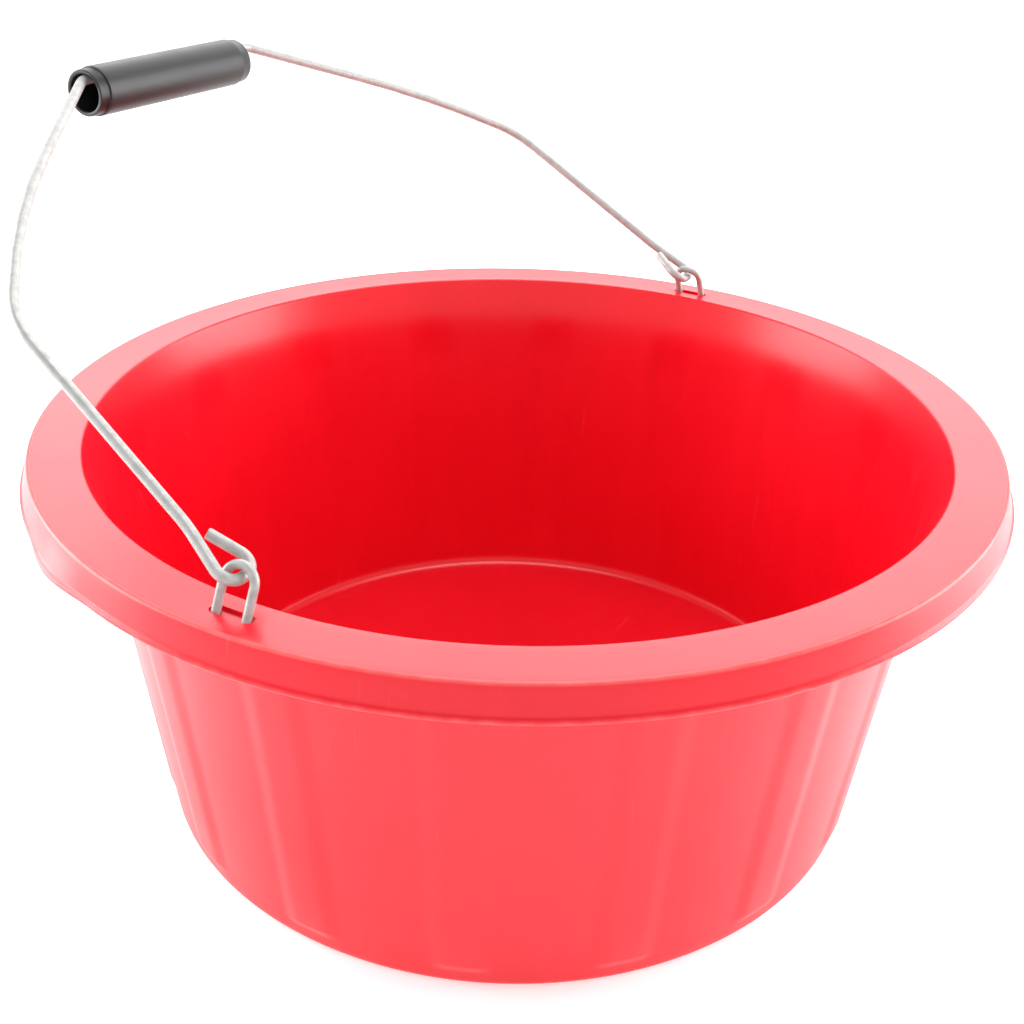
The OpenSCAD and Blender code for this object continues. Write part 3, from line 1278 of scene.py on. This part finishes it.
@dataclass
class Staple:
    """Arched wire staple with its feet clinched outwards under the rim."""

    bending: BendingRule
    finish: bpy.types.Material
    side: Side
    wire_d: float = 3.2 * MM
    seat_r: float = 185 * MM
    seat_z: float = 168 * MM
    gap: float = 12.2 * MM
    crown: float = 14.2 * MM
    tilt_deg: float = 26.0
    foot_len: float = 8 * MM
    flange: float = 2.2 * MM
    foot_air: float = 0.3 * MM
    foot_bend: float = 2.4 * MM
    crown_flat: float = 0.1 * MM

    def centre_line(self) -> list[Vector]:
        """Centre line in the row's frame.

        Returns:
            Points from one foot over the crown to the other.
        """
        lean = math.cos(math.radians(self.tilt_deg))
        half, top = self.gap / 2, self.crown / lean
        foot = -(self.flange + self.wire_d / 2 + self.foot_air) / lean
        corners = [
            Corner(-half - self.foot_len, foot),
            Corner(-half, foot, self.foot_bend),
            Corner(-half, top, half - self.crown_flat),
            Corner(half, top, half - self.crown_flat),
            Corner(half, foot, self.foot_bend),
            Corner(half + self.foot_len, foot),
        ]
        turn = 0.0 if self.side is Side.RIGHT else math.pi
        place = (
            Matrix.Rotation(turn, 4, "Z")
            @ Matrix.Translation((self.seat_r, 0, self.seat_z))
            @ Matrix.Rotation(math.radians(-self.tilt_deg), 4, "Y")
        )
        return [place @ Vector((0, u, v)) for u, v in bent_path(corners, math.radians(6))]

    def dress(self) -> bpy.types.Object:
        """Builds the staple and hangs it on the bucket's body."""
        name = self.side.name.lower()
        piece = self.bending.run(f"rim_staple_{name}", self.centre_line(), self.wire_d, self.finish)
        return mount(piece, Body.BUCKET, Slot.WIRE, f"staple_{name}")


@dataclass
class Bail:
    """One wire with an eye closed round each staple and a straight run for the grip."""

    bending: BendingRule
    finish: bpy.types.Material
    wire_d: float = 4 * MM
    pivot_z: float = 178 * MM
    lean_deg: float = 57.3
    half: list[Corner] = field(default_factory=lambda: [
        Corner(175.9 * MM, 18.6 * MM),
        Corner(169.4 * MM, 0.0, 5.4 * MM),
        Corner(186.3 * MM, 0.0, 5.4 * MM),
        Corner(179.6 * MM, 24 * MM, 50 * MM),
        Corner(169.5 * MM, 116 * MM, 36 * MM),
        Corner(134 * MM, 154.5 * MM, 320 * MM),
        Corner(51 * MM, 209.2 * MM, 12 * MM),
    ])

    def centre_line(self) -> list[Vector]:
        """Centre line in the row's frame, in the stored pose.

        Returns:
            Points from one eye over the grip to the other.
        """
        left = [Corner(-c.u, c.v, c.bend) for c in self.half]
        corners = left + list(reversed(self.half))
        lean = math.radians(self.lean_deg)
        return [
            Vector((u, v * math.sin(lean), self.pivot_z + v * math.cos(lean)))
            for u, v in bent_path(corners, math.radians(5))
        ]

    def dress(self) -> bpy.types.Object:
        """Builds the bail and hangs it on its body."""
        piece = self.bending.run("bail", self.centre_line(), self.wire_d, self.finish, 32)
        return mount(piece, Body.BAIL, Slot.WIRE, "bail_wire")


@dataclass
class Grip:
    """Loose black tube with a stepped collar at each end."""

    turning: TurningRule
    finish: bpy.types.Material
    outer_d: float = 20 * MM
    bore_d: float = 15 * MM
    length: float = 94 * MM
    collar_len: float = 5 * MM
    flare: float = 0.8 * MM
    collar_step: float = 0.7 * MM
    steps: int = 128

    def section(self) -> list[tuple[float, float]]:
        """Half section, as (radius, distance along) pairs, once round.

        Returns:
            The closed section's points.
        """
        outer, bore, end = self.outer_d / 2, self.bore_d / 2, self.length / 2
        lip = outer - self.collar_step
        half = [
            (bore, 0.0),
            (bore, end - 2.2 * MM),
            *arc_points((bore + self.flare, end - self.flare), self.flare, 180, 90, 6),
            *line_points((bore + self.flare, end), (lip - 0.45 * MM, end), 3),
            *arc_points((lip - 0.45 * MM, end - 0.45 * MM), 0.45 * MM, 90, 0, 5),
            (lip, end - self.collar_len + 0.25 * MM),
            (lip + 0.08 * MM, end - self.collar_len + 0.06 * MM),
            *arc_points((outer - 0.4 * MM, end - self.collar_len - 0.4 * MM), 0.4 * MM, 90, 0, 5),
            (outer, end - self.collar_len - 2 * MM),
        ]
        body = line_points(half[-1], (outer, -half[-1][1]), 10)
        return half + body + [(r, -z) for r, z in reversed(half[1:])]

    def build(self) -> bpy.types.Object:
        """Turns the section and lays the tube along X where the CAD has it.

        Returns:
            The grip.
        """
        low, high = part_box("grip_tube")
        centre = (low + high) / 2
        path_r = self.outer_d
        points = [Vector((r - path_r, -z, 0.0)) for r, z in self.section()]
        nothing = [0.0] * len(points)
        seed = chain_mesh("grip section", points, True, {"rib": nothing, "nick": nothing})
        piece = grow("grip", seed, self.turning.bench, {
            "Steps": self.steps,
            "Path Radius": path_r,
            "Rib Count": 1,
            "Rib Half Angle": 0.5,
            "Rib Soft Angle": 0.1,
            "Rib Height": 0.0,
            "Nick Angle": 0.0,
            "Nick Half Angle": 0.5,
            "Nick Height": 0.0,
            "Seat Radius": 1.0,
            "Seat Spread": 0.01,
            "Seat Depth": 0.0,
            "Seat Height": 1.0,
            "Finish": self.finish,
        })
        piece.data.transform(Matrix.Translation(centre) @ Matrix.Rotation(math.pi / 2, 4, "Y"))
        tidy(piece, 50.0)
        return piece

    def dress(self) -> bpy.types.Object:
        """Builds the grip and hangs it on its body."""
        return mount(self.build(), Body.GRIP, Slot.GRIP, "grip_tube")


# --------------------------------------------------------------------------------------------------
# Studio
# --------------------------------------------------------------------------------------------------


# Azimuth of the camera, from which the lights are set out
VIEW_DEG = -61.399


@dataclass(frozen=True)
class SoftBox:
    """One large soft light that points at the bucket. Azimuth 0 stands at -Y and 90 at +X."""

    name: str
    azimuth_deg: float
    elevation_deg: float
    distance: float
    width: float
    height: float
    radiance: float

    def build(self, aim: Vector) -> bpy.types.Object:
        """Makes the light.

        Args:
            aim: what it points at.

        Returns:
            The light.
        """
        data = bpy.data.lights.new(self.name, "AREA")
        data.shape = "RECTANGLE"
        data.size, data.size_y = self.width, self.height
        data.energy = self.radiance * math.pi * self.width * self.height
        lamp = bpy.data.objects.new(self.name, data)
        bpy.context.scene.collection.objects.link(lamp)
        a, e = math.radians(self.azimuth_deg), math.radians(self.elevation_deg)
        away = Vector((math.sin(a) * math.cos(e), -math.cos(a) * math.cos(e), math.sin(e)))
        lamp.location = aim + away * self.distance
        lamp.rotation_euler = away.to_track_quat("Z", "Y").to_euler()
        lamp.visible_camera = False
        return lamp


@dataclass
class Studio:
    """Pale floor, soft light and the camera."""

    floor: StudioFloor
    floor_half: float = 8.0
    aim: Vector = field(default_factory=lambda: Vector((0.0498, 0.02923, 0.09026)))
    view_deg: float = VIEW_DEG
    pitch_deg: float = 27.827
    roll_deg: float = -1.478
    distance: float = 0.655
    lens: float = 47.696
    sensor: float = 36.0
    wall_light: float = 0.92
    ceiling_light: float = 0.4
    boxes: list[SoftBox] = field(default_factory=lambda: [
        SoftBox("back panel", VIEW_DEG + 180, 34.0, 1.7, 2.2, 1.0, 3.2),
        SoftBox("top panel", VIEW_DEG + 150, 82.0, 1.6, 0.8, 0.8, 6.0),
        SoftBox("left panel", VIEW_DEG - 100, 12.0, 1.5, 1.1, 1.2, 7.0),
        SoftBox("right panel", VIEW_DEG + 100, 12.0, 1.5, 1.1, 1.2, 7.0),
    ])

    def build(self) -> None:
        """Makes the floor, the lights, the world and the camera."""
        self._lay_floor()
        centre = (CAD_BOX[0] + CAD_BOX[1]) / 2
        for box in self.boxes:
            box.build(centre)
        world = bpy.data.worlds.new("studio")
        world.use_nodes = True
        bench = Bench(world.node_tree)
        place = bench.node("ShaderNodeTexCoord").outputs["Generated"]
        axes = bench.node("ShaderNodeSeparateXYZ", None, {"Vector": place})
        low = Signal(bench, axes.outputs[2]).step(0.88, 0.52)
        sky = world.node_tree.nodes["Background"]
        bench.feed(sky.inputs["Color"], (1.0, 1.0, 1.0, 1.0))
        bench.feed(sky.inputs["Strength"], low * (self.wall_light - self.ceiling_light) + self.ceiling_light)
        bpy.context.scene.world = world
        bpy.context.scene.view_settings.view_transform = "Standard"
        self._set_camera()
        log.info("studio: floor, %d soft lights and camera", len(self.boxes))

    def _lay_floor(self) -> None:
        """Makes the floor just below the foot ring."""
        s, z = self.floor_half, -0.05 * MM
        mesh = bpy.data.meshes.new("studio_floor")
        mesh.from_pydata([(-s, -s, z), (s, -s, z), (s, s, z), (-s, s, z)], [], [(0, 1, 2, 3)])
        floor = bpy.data.objects.new("studio_floor", mesh)
        bpy.context.scene.collection.objects.link(floor)
        mesh.materials.append(self.floor.material())

    def _set_camera(self) -> None:
        """Makes the camera from its view line, roll and lens."""
        a, e = math.radians(self.view_deg), math.radians(self.pitch_deg)
        back = Vector((math.sin(a) * math.cos(e), -math.cos(a) * math.cos(e), math.sin(e)))
        data = bpy.data.cameras.new("camera")
        data.lens, data.sensor_width = self.lens, self.sensor
        data.clip_start, data.clip_end = 0.01, 100.0
        data.dof.use_dof = False
        camera = bpy.data.objects.new("camera", data)
        bpy.context.scene.collection.objects.link(camera)
        look = back.to_track_quat("Z", "Y").to_matrix().to_4x4()
        camera.matrix_world = (
            Matrix.Translation(self.aim + back * self.distance)
            @ look
            @ Matrix.Rotation(math.radians(-self.roll_deg), 4, "Z")
        )
        bpy.context.scene.camera = camera


def main() -> None:
    """Builds every sub-assembly, then the studio."""
    logging.basicConfig(level=logging.INFO, format="%(name)s: %(message)s", stream=sys.stdout, force=True)
    turning, bending = TurningRule(), BendingRule()
    plastic, zinc, black = MouldedPlastic().material(), ZincWire().material(), GripPlastic().material()
    BucketShell(turning, plastic).dress()
    for side in Side:
        Staple(bending, zinc, side).dress()
    Bail(bending, zinc).dress()
    Grip(turning, black).dress()
    Studio(StudioFloor()).build()


if __name__ == "__main__":
    main()
